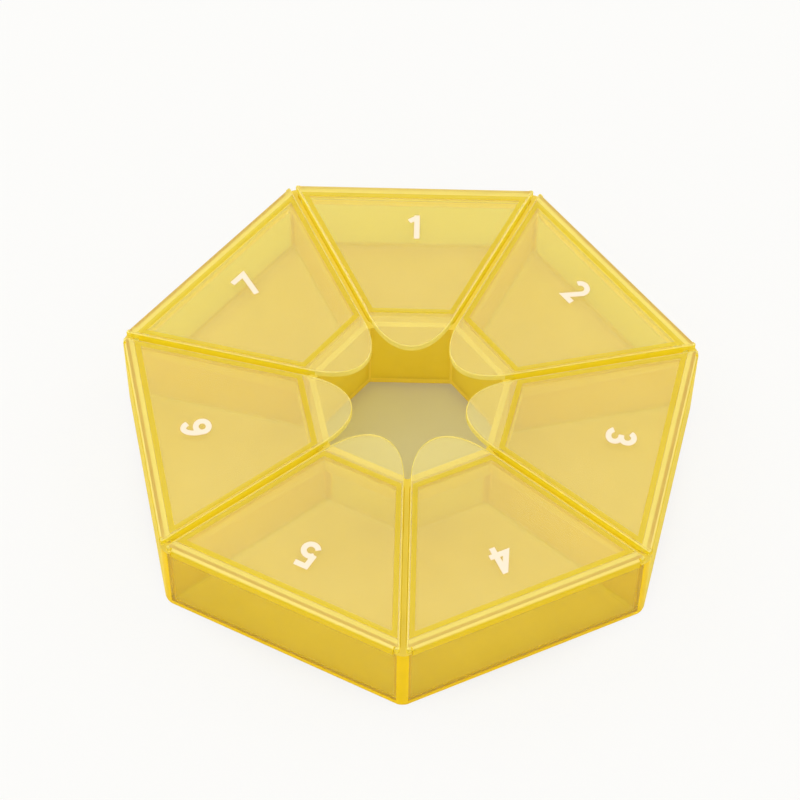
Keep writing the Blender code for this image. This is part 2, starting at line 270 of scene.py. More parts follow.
class LidSettings(bpy.types.PropertyGroup):
    """Sizes and colours of the lids."""

    thickness: bpy.props.FloatProperty(
        name="Thickness", description="Thickness of a lid's plate", default=0.0015, unit="LENGTH"
    )
    side_gap: bpy.props.FloatProperty(
        name="Side gap", description="Half the gap between two lids", default=0.0006, unit="LENGTH"
    )
    ear_setback: bpy.props.FloatProperty(
        name="Ear setback", description="How far the ears stay inside the outer wall",
        default=0.00015, unit="LENGTH"
    )
    tab_reach: bpy.props.FloatProperty(
        name="Tab reach", description="How far the tab stands over the hole",
        default=0.0038, unit="LENGTH"
    )
    corner: bpy.props.FloatProperty(
        name="Corner", description="Radius of a lid's outer corners", default=0.0004, unit="LENGTH"
    )
    edge: bpy.props.FloatProperty(
        name="Edge", description="Radius of a lid's top edge", default=0.00035, unit="LENGTH"
    )
    rim_wall: bpy.props.FloatProperty(
        name="Rim wall", description="Thickness of the rim underneath", default=0.0013, unit="LENGTH"
    )
    rim_corner: bpy.props.FloatProperty(
        name="Rim corner", description="Radius of the rim's upright corners",
        default=0.0009, unit="LENGTH"
    )
    rim_edge: bpy.props.FloatProperty(
        name="Rim edge", description="Radius along the rim's bottom", default=0.00025, unit="LENGTH"
    )
    ridge: bpy.props.FloatProperty(
        name="Ridge", description="Height of the low ridge over the rim", default=0.00012,
        unit="LENGTH"
    )
    rim_side_gap: bpy.props.FloatProperty(
        name="Rim side gap", description="Gap between the rim and a partition",
        default=0.0004, unit="LENGTH"
    )
    rim_hinge_gap: bpy.props.FloatProperty(
        name="Rim hinge gap", description="Gap between the rim and the outer wall",
        default=0.0008, unit="LENGTH"
    )
    rim_tab_gap: bpy.props.FloatProperty(
        name="Rim tab gap", description="Gap between the rim and the hole's wall",
        default=0.0012, unit="LENGTH"
    )
    rim_hinge_depth: bpy.props.FloatProperty(
        name="Rim depth at the hinge", description="How deep the rim dips in at the hinge",
        default=0.0015, unit="LENGTH"
    )
    rim_tab_depth: bpy.props.FloatProperty(
        name="Rim depth at the tab", description="How deep the rim dips in at the tab",
        default=0.0036, unit="LENGTH"
    )
    haze_level: bpy.props.FloatProperty(
        name="Level haze", description="Share of light that level faces scatter",
        default=0.20, subtype="FACTOR"
    )
    haze_side: bpy.props.FloatProperty(
        name="Side haze", description="Share of light that upright faces scatter",
        default=0.60, subtype="FACTOR"
    )
    haze_thick: bpy.props.FloatProperty(
        name="Deep haze", description="Share of light that deep faces scatter",
        default=0.55, subtype="FACTOR"
    )
    rough: bpy.props.FloatProperty(
        name="Roughness", description="Roughness of the moulded faces", default=0.10,
        subtype="FACTOR"
    )
    density: bpy.props.FloatProperty(
        name="Density", description="How fast the plastic's colour deepens", default=120
    )
    depth: bpy.props.FloatVectorProperty(
        name="Depth", description="Colour that the plastic takes with its thickness",
        subtype="COLOR", size=4, default=(0.996, 0.965, 0.0, 1.0)
    )
    deep: bpy.props.FloatVectorProperty(
        name="Deep", description="Colour that thick plastic scatters", subtype="COLOR", size=4,
        default=(0.85, 0.66, 0.02, 1.0)
    )
    pass_side: bpy.props.FloatVectorProperty(
        name="Light through sides", description="Share of light that upright faces let on",
        subtype="COLOR", size=4, default=(0.92, 0.84, 0.45, 1.0)
    )
    pale: bpy.props.FloatVectorProperty(
        name="Pale", description="Colour that level faces scatter", subtype="COLOR", size=4,
        default=(1.0, 0.86, 0.35, 1.0)
    )
    gloss: bpy.props.FloatProperty(
        name="Gloss", description="How strongly the plastic reflects", default=0.5, subtype="FACTOR"
    )
    pass_level: bpy.props.FloatVectorProperty(
        name="Light through level faces", description="Share of light that level faces let on",
        subtype="COLOR", size=4, default=(0.985, 0.97, 0.93, 1.0)
    )


class FilmSettings(bpy.types.PropertyGroup):
    """Sizes of the film hinges."""

    length: bpy.props.FloatProperty(
        name="Length", description="Length of a film hinge", default=0.0460, unit="LENGTH"
    )
    film: bpy.props.FloatProperty(
        name="Film", description="Thickness of the film", default=0.00034, unit="LENGTH"
    )
    shoulder: bpy.props.FloatProperty(
        name="Shoulder", description="Radius of the film's fold", default=0.0009, unit="LENGTH"
    )
    drop: bpy.props.FloatProperty(
        name="Drop", description="How far the film reaches down the wall", default=0.0008,
        unit="LENGTH"
    )
    wrinkle: bpy.props.FloatProperty(
        name="Wrinkle", description="Height of the creases in the film", default=0.00007,
        unit="LENGTH"
    )
    haze_level: bpy.props.FloatProperty(
        name="Level haze", description="Share of light that level faces scatter",
        default=0.85, subtype="FACTOR"
    )
    haze_side: bpy.props.FloatProperty(
        name="Side haze", description="Share of light that upright faces scatter",
        default=0.6, subtype="FACTOR"
    )
    haze_thick: bpy.props.FloatProperty(
        name="Deep haze", description="Share of light that deep faces scatter",
        default=0.5, subtype="FACTOR"
    )
    rough: bpy.props.FloatProperty(
        name="Roughness", description="Roughness of the film", default=0.12, subtype="FACTOR"
    )
    density: bpy.props.FloatProperty(
        name="Density", description="How fast the plastic's colour deepens", default=250
    )
    depth: bpy.props.FloatVectorProperty(
        name="Depth", description="Colour that the plastic takes with its thickness",
        subtype="COLOR", size=4, default=(0.996, 0.965, 0.0, 1.0)
    )
    deep: bpy.props.FloatVectorProperty(
        name="Deep", description="Colour that thick plastic scatters", subtype="COLOR", size=4,
        default=(0.85, 0.66, 0.02, 1.0)
    )
    pass_side: bpy.props.FloatVectorProperty(
        name="Light through sides", description="Share of light that upright faces let on",
        subtype="COLOR", size=4, default=(0.92, 0.84, 0.45, 1.0)
    )
    pale: bpy.props.FloatVectorProperty(
        name="Pale", description="Colour that level faces scatter", subtype="COLOR", size=4,
        default=(1.0, 0.86, 0.25, 1.0)
    )
    gloss: bpy.props.FloatProperty(
        name="Gloss", description="How strongly the plastic reflects", default=0.2, subtype="FACTOR"
    )
    pass_level: bpy.props.FloatVectorProperty(
        name="Light through level faces", description="Share of light that level faces let on",
        subtype="COLOR", size=4, default=(0.98, 0.955, 0.80, 1.0)
    )


class FinishSettings(bpy.types.PropertyGroup):
    """Colours of the plastic and the print."""

    edge: bpy.props.FloatVectorProperty(
        name="Edge", description="Colour that upright faces scatter", subtype="COLOR", size=4,
        default=(1.0, 0.80, 0.015, 1.0)
    )
    flank: bpy.props.FloatVectorProperty(
        name="Flank", description="Colour of upright faces seen nearly edge-on", subtype="COLOR",
        size=4, default=(0.80, 0.62, 0.07, 1.0)
    )
    # Colour of the painted highlights on rounded edges and of the painted light on other marked
    # faces
    bright: bpy.props.FloatVectorProperty(
        name="Bright", description="Colour that rounded edges scatter", subtype="COLOR", size=4,
        default=(1.0, 0.87, 0.21, 1.0)
    )
    pass_dim: bpy.props.FloatVectorProperty(
        name="Light through dim faces", description="Share of light that thick faces let on",
        subtype="COLOR", size=4, default=(0.50, 0.38, 0.05, 1.0)
    )
    ink: bpy.props.FloatVectorProperty(
        name="Ink", description="Colour of the print", subtype="COLOR", size=4,
        default=(0.86, 0.72, 0.54, 1.0)
    )
    # The floor is a darker yellowish grey: its yellow tint is painted yellow light, as falls through
    # the plastic onto the floor in the hole
    floor: bpy.props.FloatVectorProperty(
        name="Floor", description="Colour of the floor", subtype="COLOR", size=4,
        default=(0.69, 0.66, 0.55, 1.0)
    )


def select_only(piece):
    """Select one piece and make it the active one."""
    bpy.ops.object.select_all(action="DESELECT")
    piece.select_set(True)
    bpy.context.view_layer.objects.active = piece


def edit(piece):
    """Open one piece in edit mode with nothing selected."""
    select_only(piece)
    bpy.ops.object.mode_set(mode="EDIT")
    bpy.ops.mesh.select_all(action="DESELECT")


def leave_edit():
    """Go back to object mode."""
    bpy.ops.object.mode_set(mode="OBJECT")


def pick(piece, kind, test):
    """Select what passes a test of a vertex's place, an edge's ends or a face's place and normal."""
    bpy.ops.mesh.select_all(action="DESELECT")
    bpy.ops.mesh.select_mode(type=kind)
    work = bmesh.from_edit_mesh(piece.data)
    if kind == "VERT":
        chosen = [vertex for vertex in work.verts if test(vertex.co)]
    elif kind == "EDGE":
        chosen = [edge for edge in work.edges if test(edge.verts[0].co, edge.verts[1].co)]
    else:
        chosen = [face for face in work.faces if test(face.calc_center_median(), face.normal)]
    if not chosen:
        raise RuntimeError("nothing to select on " + piece.name)
    for element in chosen:
        element.select_set(True)
    work.select_flush_mode()
    bmesh.update_edit_mesh(piece.data)


def pick_all():
    """Select everything in edit mode."""
    bpy.ops.mesh.select_all(action="SELECT")


def pick_upright(piece):
    """Select the upright edges."""
    pick(piece, "EDGE", lambda a, b: (a.xy - b.xy).length < SAME_PLACE)


def pick_level(piece, height):
    """Select the edges at one height."""
    pick(piece, "EDGE", lambda a, b: abs(a.z - height) < SAME_PLACE > abs(b.z - height))


def extrude(offset):
    """Extrude the selected faces by an offset."""
    bpy.ops.mesh.extrude_region_move(TRANSFORM_OT_translate={"value": offset})


def recalculate(piece):
    """Merge the piece's doubled points and turn its faces outwards."""
    edit(piece)
    pick_all()
    bpy.ops.mesh.remove_doubles(threshold=SAME_PLACE / 10)
    bpy.ops.mesh.normals_make_consistent(inside=False)
    leave_edit()


def boolean(piece, other, operation):
    """Join another solid to the piece or take it away, and remove the other."""
    select_only(piece)
    modifier = piece.modifiers.new("solid", "BOOLEAN")
    modifier.operation = operation
    modifier.solver = "EXACT"
    modifier.object = other
    bpy.ops.object.modifier_apply(modifier=modifier.name)
    bpy.data.objects.remove(other, do_unlink=True)


def round_edges(piece, radius):
    """Round every sharp edge with a bevel modifier."""
    select_only(piece)
    bevel = piece.modifiers.new("edges", "BEVEL")
    bevel.width = radius
    bevel.segments = 2
    bevel.limit_method = "ANGLE"
    bevel.angle_limit = SHARP_ANGLE
    bevel.use_clamp_overlap = True
    bpy.ops.object.modifier_apply(modifier=bevel.name)


def flatten_normals(piece):
    """Shade the piece smooth over its rounded edges and keep its large faces flat."""
    select_only(piece)
    bpy.ops.object.shade_smooth_by_angle(angle=SHARP_ANGLE)
    weighted = piece.modifiers.new("normals", "WEIGHTED_NORMAL")
    weighted.keep_sharp = True
    weighted.weight = 100
    bpy.ops.object.modifier_apply(modifier=weighted.name)


def mark_faces(piece, name, rule):
    """Store on each face a share from 0 to 1, by its centre, its normal and its width."""
    marks = piece.data.attributes.new(name, "FLOAT", "FACE")
    places = [vertex.co for vertex in piece.data.vertices]
    shares = []
    for face in piece.data.polygons:
        heights = [places[index].z for index in face.vertices]
        rise = max(heights) - min(heights)
        width = face.area / max(rise, SAME_PLACE)
        shares.append(float(rule(face.center, face.normal, width)))
    marks.data.foreach_set("value", shares)


def settled(name):
    """Name the new primitive and apply its place, turn and scale to its mesh."""
    piece = bpy.context.active_object
    piece.name = name
    bpy.ops.object.transform_apply(location=True, rotation=True, scale=True)
    return piece


def new_prism(name, apothem, bottom, top):
    """Add a seven-sided prism with one flat side at the back."""
    bpy.ops.object.select_all(action="DESELECT")
    bpy.ops.mesh.primitive_cylinder_add(
        vertices=PLACES,
        radius=apothem / math.cos(HALF_TURN),
        depth=top - bottom,
        location=(0, 0, (bottom + top) / 2),
        rotation=(0, 0, math.pi),
    )
    return settled(name)


def wedge_half(distance, gap):
    """Return half the width of a place at a distance from the axis, less a gap at its side."""
    return distance * math.tan(HALF_TURN) - gap / math.cos(HALF_TURN)


def new_wedge(name, inner, outer, gap, height):
    """Add a flat wedge, one place of the ring between two distances from the axis."""
    bpy.ops.object.select_all(action="DESELECT")
    bpy.ops.mesh.primitive_plane_add(size=1, location=(0, (inner + outer) / 2, height))
    bpy.context.active_object.scale = (2 * wedge_half(outer, gap), outer - inner, 1)
    wedge = settled(name)
    edit(wedge)
    middle = (inner + outer) / 2
    pick(wedge, "VERT", lambda place: place.y < middle)
    share = wedge_half(inner, gap) / wedge_half(outer, gap)
    bpy.ops.transform.resize(value=(share, 1, 1), center_override=(0, inner, height))
    leave_edit()
    return wedge


def new_box(name, low, high):
    """Add a box between two corners."""
    low = Vector(low)
    high = Vector(high)
    bpy.ops.object.select_all(action="DESELECT")
    bpy.ops.mesh.primitive_cube_add(size=1, location=(low + high) / 2)
    bpy.context.active_object.scale = high - low
    return settled(name)


def ring_of_copies(piece):
    """Put a turned copy of the piece at each place and join them into one object."""
    copies = []
    for place in range(1, PLACES):
        copies.append(turned_copy(piece, piece.name + "_" + str(place), place, 0))
    bpy.ops.object.select_all(action="DESELECT")
    for copy in copies + [piece]:
        copy.select_set(True)
    bpy.context.view_layer.objects.active = piece
    bpy.ops.object.join()


def turned_copy(piece, name, place, shift):
    """Copy a piece to a place of the ring, with a mesh of its own, and shift it along y."""
    copy = piece.copy()
    copy.data = piece.data.copy()
    copy.name = name
    copy.data.name = name
    bpy.context.scene.collection.objects.link(copy)
    turn = Matrix.Rotation(-place * TURN, 4, "Z")
    copy.data.transform(Matrix.Translation((0, shift, 0)) @ turn)
    return copy


def round_corners(radius, interior, steps):
    """Round the selected upright edges, given the angle inside the corner."""
    offset = radius / math.tan(interior / 2)
    bpy.ops.mesh.bevel(offset=offset, offset_type="OFFSET", segments=steps, profile=0.5)


def make_tray(sizes):
    """Model the tray: the ring's block, less the hole, the compartments and the hinges' room."""
    corner = math.pi - TURN
    tray = new_prism("tray_shell", RING_APOTHEM, 0, WALL_HEIGHT)
    edit(tray)
    pick_upright(tray)
    round_corners(RING_CORNER_RADIUS, corner, steps=8)
    pick_level(tray, 0)
    bpy.ops.mesh.bevel(offset=sizes.foot, segments=4)
    leave_edit()

    hole = new_prism("hole", HOLE_APOTHEM, -OVERRUN, WALL_HEIGHT + OVERRUN)
    edit(hole)
    pick_upright(hole)
    round_corners(sizes.hole_corner, corner, steps=4)
    leave_edit()
    boolean(tray, hole, "DIFFERENCE")
    edit(tray)
    pick(
        tray, "EDGE",
        lambda a, b: max(a.z, b.z) < SAME_PLACE and max(a.length, b.length) < HOLE_TIP + OVERRUN,
    )
    bpy.ops.mesh.bevel(offset=sizes.foot / 2, segments=3)
    leave_edit()

    inner = HOLE_APOTHEM + INNER_WALL
    outer = RING_APOTHEM - OUTER_WALL
    pocket = new_wedge("pocket", inner, outer, PARTITION / 2, sizes.floor)
    edit(pocket)
    pick_all()
    extrude((0, 0, WALL_HEIGHT + OVERRUN - sizes.floor))
    pick_upright(pocket)
    bpy.ops.mesh.bevel(offset=sizes.pocket_corner, segments=5)
    pick_level(pocket, sizes.floor)
    bpy.ops.mesh.bevel(offset=sizes.pocket_floor, segments=4)
    leave_edit()
    recalculate(pocket)
    ring_of_copies(pocket)
    boolean(tray, pocket, "DIFFERENCE")

    rebate = new_box(
        "rebate",
        (-STRETCH_HALF, RING_APOTHEM - REBATE_WIDTH, WALL_HEIGHT - REBATE_DEPTH),
        (STRETCH_HALF, RING_APOTHEM + OVERRUN, WALL_HEIGHT + OVERRUN),
    )
    ring_of_copies(rebate)
    boolean(tray, rebate, "DIFFERENCE")
    edit(tray)
    pick_all()
    bpy.ops.mesh.dissolve_limited(angle_limit=FLAT_ANGLE)
    leave_edit()
    recalculate(tray)
    edit(tray)
    pick_all()
    bpy.ops.mesh.bisect(plane_co=(0, 0, FOOT_LINE), plane_no=(0, 0, 1))
    for place in range(PLACES):
        outward = Matrix.Rotation(-place * TURN, 3, "Z") @ Vector((0, 1, 0))
        pick(tray, "FACE", lambda centre, way: way.z < -FLAT)
        bpy.ops.mesh.bisect(plane_co=outward * (RING_APOTHEM - FOOT_STRIP), plane_no=outward)
    leave_edit()
    round_edges(tray, sizes.top_edge)
    mark_faces(tray, "thick", lambda *face: thick_in_tray(*face, sizes))
    # Painted highlights on rounded edges and fillets, and painted light on the hole's sides and the
    # walls' tops
    mark_faces(tray, "bright", lambda *face: painted_light_in_tray(*face, sizes))
    mark_faces(tray, "dim", lambda *face: dim_in_tray(*face, sizes))
    tray.data.transform(Matrix.Translation((0, RING_AXIS_Y, 0)))
    flatten_normals(tray)
    return tray


def thick_in_tray(place, normal, width, sizes):
    """Say how deep the colour of a face is: walls seen end on, posts, the foot and fillets."""
    reach = place.xy.length
    side = side_reach(place)
    if normal.z > SLANTED and place.z > WALL_HEIGHT - REBATE_DEPTH - SAME_PLACE:
        return 1
    outside = not HOLE_APOTHEM + INNER_WALL / 2 < side < RING_APOTHEM - OUTER_WALL / 2
    if outside and normal.z > -UNDERNEATH and place.z < FOOT_LINE:
        return 1
    if normal.z < -UNDERNEATH and side > RING_APOTHEM - FOOT_STRIP:
        return 1
    post = reach > RING_TIP - POST_WIDTH or abs(reach - HOLE_TIP) < HOLE_POST_WIDTH
    if post and abs(normal.z) < STEEP:
        return 1
    if abs(normal.z) < UPRIGHT and reach < HOLE_TIP:
        return HOLE_WALL_SHARE
    if not sizes.floor < place.z < WALL_HEIGHT - sizes.top_edge:
        return 0
    if place.z < sizes.floor + sizes.pocket_floor:
        return FILLET_SHARE
    if abs(normal.z) < UPRIGHT and width < sizes.pocket_corner / 2:
        return CORNER_SHARE
    if abs(normal.z) < UPRIGHT and reach < RING_APOTHEM - 2 * OUTER_WALL:
        return PARTITION_SHARE
    return 0


def dim_in_tray(place, normal, width, sizes):
    """Say how little light a face lets on: thick plastic and the hole's sides."""
    if thick_in_tray(place, normal, width, sizes) == 1:
        return 1
    return HOLE_DIM_SHARE if abs(normal.z) < UPRIGHT and place.xy.length < HOLE_TIP else 0


def side_reach(place):
    """Return how far a place is from the axis, towards the nearest of the seven sides."""
    turn = math.atan2(place.x, place.y)
    return place.xy.length * math.cos(turn - round(turn / TURN) * TURN)


def painted_light_in_tray(place, normal, width, sizes):
    """Say how much painted light a face has: the hole's sides and the walls' level tops, and painted
    highlights on the fillets and the walls' rounded top edges.
    """
    if abs(normal.z) < UPRIGHT and place.xy.length < HOLE_TIP:
        return HOLE_PAINTED_LIGHT_SHARE
    if sizes.floor + SAME_PLACE < place.z < sizes.floor + sizes.pocket_floor - SAME_PLACE:
        return FILLET_PAINTED_HIGHLIGHT_SHARE if UPRIGHT < normal.z < LEVEL else 0
    if normal.z < SLANTED or place.z < WALL_HEIGHT - REBATE_DEPTH - SAME_PLACE:
        return 0
    return 1 if normal.z < LEVEL else TOP_SHARE


def cut_hinge_stretch(lid):
    """Set the lid's edge back along the hinge, between its two ears."""
    setback = RING_APOTHEM - HINGE_SETBACK
    cuts = [
        ((-STRETCH_HALF, 0, 0), (1, 0, 0)),
        ((STRETCH_HALF, 0, 0), (1, 0, 0)),
        ((0, setback, 0), (0, 1, 0)),
    ]
    for place, normal in cuts:
        pick_all()
        bpy.ops.mesh.bisect(plane_co=place, plane_no=normal)
    pick(lid, "FACE", lambda place, normal: place.y > setback and abs(place.x) < STRETCH_HALF)
    bpy.ops.mesh.delete(type="FACE")
    pick_all()
    bpy.ops.mesh.dissolve_limited(angle_limit=FLAT_ANGLE)


def make_lid(sizes):
    """Model one lid at the back of the ring: its plate with the round tab, and its rim."""
    tip = HOLE_APOTHEM - sizes.tab_reach
    apex = sizes.side_gap / math.sin(HALF_TURN)
    tab_radius = (tip - apex) * math.sin(HALF_TURN) / (1 - math.sin(HALF_TURN))
    ear = RING_APOTHEM - sizes.ear_setback
    lid = new_wedge("lid", apex, ear, sizes.side_gap, LID_BOTTOM)
    edit(lid)
    pick_all()
    bpy.ops.mesh.remove_doubles(threshold=SAME_PLACE)
    pick(lid, "VERT", lambda place: place.y < apex + OVERRUN)
    reach = tab_radius / math.tan(HALF_TURN)
    bpy.ops.mesh.bevel(offset=reach, segments=28, affect="VERTICES", profile=0.5)
    pick(lid, "VERT", lambda place: place.y > ear - SAME_PLACE)
    corner = math.pi / 2 - HALF_TURN
    bpy.ops.mesh.bevel(
        offset=sizes.corner / math.tan(corner / 2), segments=6, affect="VERTICES", profile=0.5
    )
    cut_hinge_stretch(lid)
    pick_all()
    extrude((0, 0, sizes.thickness))
    top = LID_BOTTOM + sizes.thickness
    pick_level(lid, top)
    bpy.ops.mesh.bevel(offset=sizes.edge, segments=4)
    pick_level(lid, LID_BOTTOM)
    bpy.ops.mesh.bevel(offset=sizes.edge / 2, segments=2)
    leave_edit()
    recalculate(lid)

    boolean(lid, make_rim(sizes), "UNION")
    recalculate(lid)
    outside = rim_lines(sizes, 0)
    inside = rim_lines(sizes, sizes.rim_wall)
    edit(lid)
    for place, normal in outside + inside:
        pick(lid, "FACE", lambda centre, way: way.z > FLAT and centre.z > top - SAME_PLACE)
        bpy.ops.mesh.bisect(plane_co=place, plane_no=normal)
    pick(
        lid, "FACE",
        lambda centre, way: way.z > FLAT and within(centre, outside) and not within(centre, inside),
    )
    bpy.ops.mesh.inset(thickness=sizes.ridge, depth=sizes.ridge, use_even_offset=True)
    leave_edit()
    mark_faces(lid, "thick", lambda centre, way, width: centre.z > top + sizes.ridge / 2)
    # Painted highlights on the lid's edges and painted light on its margin and tab
    mark_faces(lid, "bright", lambda *face: bright_in_lid(*face, sizes, outside))
    flatten_normals(lid)
    return lid


def bright_in_lid(place, normal, width, sizes, rim):
    """Say how much painted light a face has: painted highlights on the top edge, the tab's sides and
    the rim's bottom edges, and painted light on the margin and the tab.
    """
    top = LID_BOTTOM + sizes.thickness
    if LIP < normal.z < LEVEL and top - sizes.edge < place.z < top:
        return 1
    if abs(normal.z) > LEVEL and place.z > LID_BOTTOM - SAME_PLACE and not within(place, rim):
        return MARGIN_SHARE if within(place, rim[:1]) else TAB_SHARE
    if abs(normal.z) < LIP and place.y < HOLE_APOTHEM and place.z > LID_BOTTOM:
        return TAB_EDGE_SHARE
    return 1 if -LEVEL < normal.z < -UNDERCUT and place.z < LID_BOTTOM - sizes.edge else 0


def rim_sides(sizes, inset):
    """Return the rim's two distances from the axis and its gap at the side, set inwards."""
    inner = HOLE_APOTHEM + INNER_WALL + sizes.rim_tab_gap + inset
    outer = RING_APOTHEM - OUTER_WALL - sizes.rim_hinge_gap - inset
    gap = PARTITION / 2 + sizes.rim_side_gap + inset
    return inner, outer, gap


def rim_lines(sizes, inset):
    """Return the planes along the rim's four sides, set inwards, each with its outward normal."""
    inner, outer, gap = rim_sides(sizes, inset)
    lines = [((0, inner, 0), (0, -1, 0)), ((0, outer, 0), (0, 1, 0))]
    for side in (-1, 1):
        normal = (side * math.cos(HALF_TURN), -math.sin(HALF_TURN), 0)
        lines.append(((side * wedge_half(outer, gap), outer, 0), normal))
    return lines


def within(centre, lines):
    """Tell whether a place is on the inner side of every plane."""
    return all((centre - Vector(place)).dot(Vector(normal)) < 0 for place, normal in lines)


def make_rim(sizes):
    """Model the rim under a lid: an open frame with a bottom that slopes down to the tab."""
    inner, outer, gap = rim_sides(sizes, 0)
    top = LID_BOTTOM + sizes.thickness / 2
    low = LID_BOTTOM - sizes.rim_tab_depth
    rim = new_wedge("rim", inner, outer, gap, low)
    edit(rim)
    pick_all()
    extrude((0, 0, top - low))
    pick_upright(rim)
    bpy.ops.mesh.bevel(offset=sizes.rim_corner, segments=5)
    pick_all()
    fall = sizes.rim_tab_depth - sizes.rim_hinge_depth
    slope = math.atan(fall / (outer - inner))
    bpy.ops.mesh.bisect(
        plane_co=(0, inner, low),
        plane_no=(0, -math.sin(slope), math.cos(slope)),
        use_fill=True,
        clear_inner=True,
    )
    leave_edit()
    recalculate(rim)
    hollow = new_wedge("hollow", *rim_sides(sizes, sizes.rim_wall), low - OVERRUN)
    edit(hollow)
    pick_all()
    extrude((0, 0, top - low + 2 * OVERRUN))
    pick_upright(hollow)
    bpy.ops.mesh.bevel(offset=sizes.rim_corner / 2, segments=4)
    leave_edit()
    recalculate(hollow)
    boolean(rim, hollow, "DIFFERENCE")
    edit(rim)
    pick(
        rim, "EDGE",
        lambda a, b: all(abs(slope_height(end, inner, low, slope)) < SAME_PLACE for end in (a, b)),
    )
    bpy.ops.mesh.bevel(offset=sizes.rim_edge, segments=3)
    leave_edit()
    recalculate(rim)
    return rim


def slope_height(place, inner, low, slope):
    """Return how high a place is above the rim's sloping bottom."""
    return place.z - low - (place.y - inner) * math.tan(slope)


def make_film(sizes):
    """Model one film hinge: a thin creased shoulder from the wall's top round to the lid's edge."""
    radius = sizes.shoulder
    bpy.ops.object.select_all(action="DESELECT")
    bpy.ops.mesh.primitive_plane_add(size=sizes.length, location=(0, RING_APOTHEM, HINGE_HEIGHT))
    film = settled("hinge_film")
    edit(film)
    pick(film, "VERT", lambda place: place.y > RING_APOTHEM)
    bpy.ops.mesh.delete(type="VERT")
    pick_all()
    bpy.ops.mesh.subdivide(number_cuts=FILM_CUTS)
    bpy.ops.transform.translate(value=(0, sizes.length / 2, -sizes.drop))
    bpy.ops.mesh.select_mode(type="EDGE")
    bpy.ops.mesh.extrude_region_move(
        TRANSFORM_OT_translate={"value": (0, 0, sizes.drop + FILM_RISE)}
    )
    bpy.ops.mesh.spin(
        steps=FOLD_STEPS,
        angle=-math.pi / 2,
        center=(0, RING_APOTHEM - radius, HINGE_HEIGHT + FILM_RISE),
        axis=(1, 0, 0),
    )
    pick_all()
    bpy.ops.mesh.normals_make_consistent(inside=False)
    leave_edit()
    add_creases(film, sizes)
    thickness = film.modifiers.new("thickness", "SOLIDIFY")
    thickness.thickness = sizes.film
    thickness.offset = -1
    bpy.ops.object.modifier_apply(modifier=thickness.name)
    recalculate(film)
    flatten_normals(film)
    return film


def add_creases(film, sizes):
    """Crease the film with fine noise across its fold."""
    for name, size, height in CREASES:
        noise = bpy.data.textures.new(name, "CLOUDS")
        noise.noise_scale = size
        noise.noise_depth = 2
        displace = film.modifiers.new(name, "DISPLACE")
        displace.texture = noise
        displace.texture_coords = "LOCAL"
        displace.strength = sizes.wrinkle * height
        displace.mid_level = 0.5
        bpy.ops.object.modifier_apply(modifier=displace.name)


class OBJECT_OT_pill_tray(bpy.types.Operator):
    """Build the tray"""

    bl_idname = "object.pill_tray"
    bl_label = "Tray"

    def execute(self, context):
        sizes = context.scene.pill_tray
        tray = make_tray(sizes)
        material = clear_plastic("tray_plastic", context.scene.pill_finish, sizes)
        tray.data.materials.append(material)
        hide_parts("tray")
        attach(tray, "tray")
        return {"FINISHED"}


class OBJECT_OT_pill_lids(bpy.types.Operator):
    """Build the seven lids"""

    bl_idname = "object.pill_lids"
    bl_label = "Lids"

    def execute(self, context):
        sizes = context.scene.pill_lid
        lid = make_lid(sizes)
        material = clear_plastic("lid_plastic", context.scene.pill_finish, sizes)
        for place in range(PLACES):
            number = str(place + 1)
            copy = turned_copy(lid, "lid_cover_" + number, place, RING_AXIS_Y)
            copy.data.materials.append(material)
            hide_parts("lid_" + number)
            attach(copy, "lid_" + number)
        bpy.data.objects.remove(lid, do_unlink=True)
        return {"FINISHED"}


class OBJECT_OT_pill_films(bpy.types.Operator):
    """Build the seven film hinges"""

    bl_idname = "object.pill_films"
    bl_label = "Film hinges"

    def execute(self, context):
        sizes = context.scene.pill_film
        film = make_film(sizes)
        material = clear_plastic("hinge_plastic", context.scene.pill_finish, sizes)
        for place in range(PLACES):
            number = str(place + 1)
            copy = turned_copy(film, "film_hinge_" + number, place, RING_AXIS_Y)
            copy.data.materials.append(material)
            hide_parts("hinge_web_" + number)
            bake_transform(copy)
        bpy.data.objects.remove(film, do_unlink=True)
        return {"FINISHED"}


class OBJECT_OT_pill_numerals(bpy.types.Operator):
    """Build the seven printed numerals"""

    bl_idname = "object.pill_numerals"
    bl_label = "Numerals"

    def execute(self, context):
        ink = print_ink("print_ink", context.scene.pill_finish)
        for place in range(PLACES):
            number = str(place + 1)
            node = frame["nodes"]["numeral_" + number]
            numeral = node.copy()
            numeral.data = node.data.copy()
            numeral.name = "print_" + number
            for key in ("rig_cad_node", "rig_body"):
                del numeral[key]
            numeral.parent = None
            bpy.context.scene.collection.objects.link(numeral)
            recalculate(numeral)
            numeral.data.transform(Matrix.Translation((0, 0, -NUMERAL_LIFT - NUMERAL_SINK)))
            numeral.data.materials.clear()
            numeral.data.materials.append(ink)
            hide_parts("numeral_" + number)
            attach(numeral, "lid_" + number)
        return {"FINISHED"}


def add_node(tree, kind, **values):
    """Add a node and set its sockets, or its own settings, by name."""
    node = tree.nodes.new(kind)
    for name, value in values.items():
        socket = name.replace("_", " ")
        if socket in node.inputs:
            node.inputs[socket].default_value = value
        else:
            setattr(node, name, value)
    return node


def between(tree, share, low, high):
    """Return a socket that goes from a low to a high value with a share."""
    line = add_node(tree, "ShaderNodeMapRange", To_Min=low, To_Max=high)
    tree.links.new(share, line.inputs["Value"])
    return line.outputs[0]


def smooth_step(tree, value, start, end, high):
    """Return a socket that goes smoothly from 0 to a high value between two values."""
    step = add_node(
        tree, "ShaderNodeMapRange", interpolation_type="SMOOTHSTEP",
        From_Min=start, From_Max=end, To_Max=high,
    )
    tree.links.new(value, step.inputs["Value"])
    return step.outputs[0]


def product(tree, first, second):
    """Return a socket with the product of two sockets."""
    times = add_node(tree, "ShaderNodeMath", operation="MULTIPLY")
    tree.links.new(first, times.inputs[0])
    tree.links.new(second, times.inputs[1])
    return times.outputs[0]


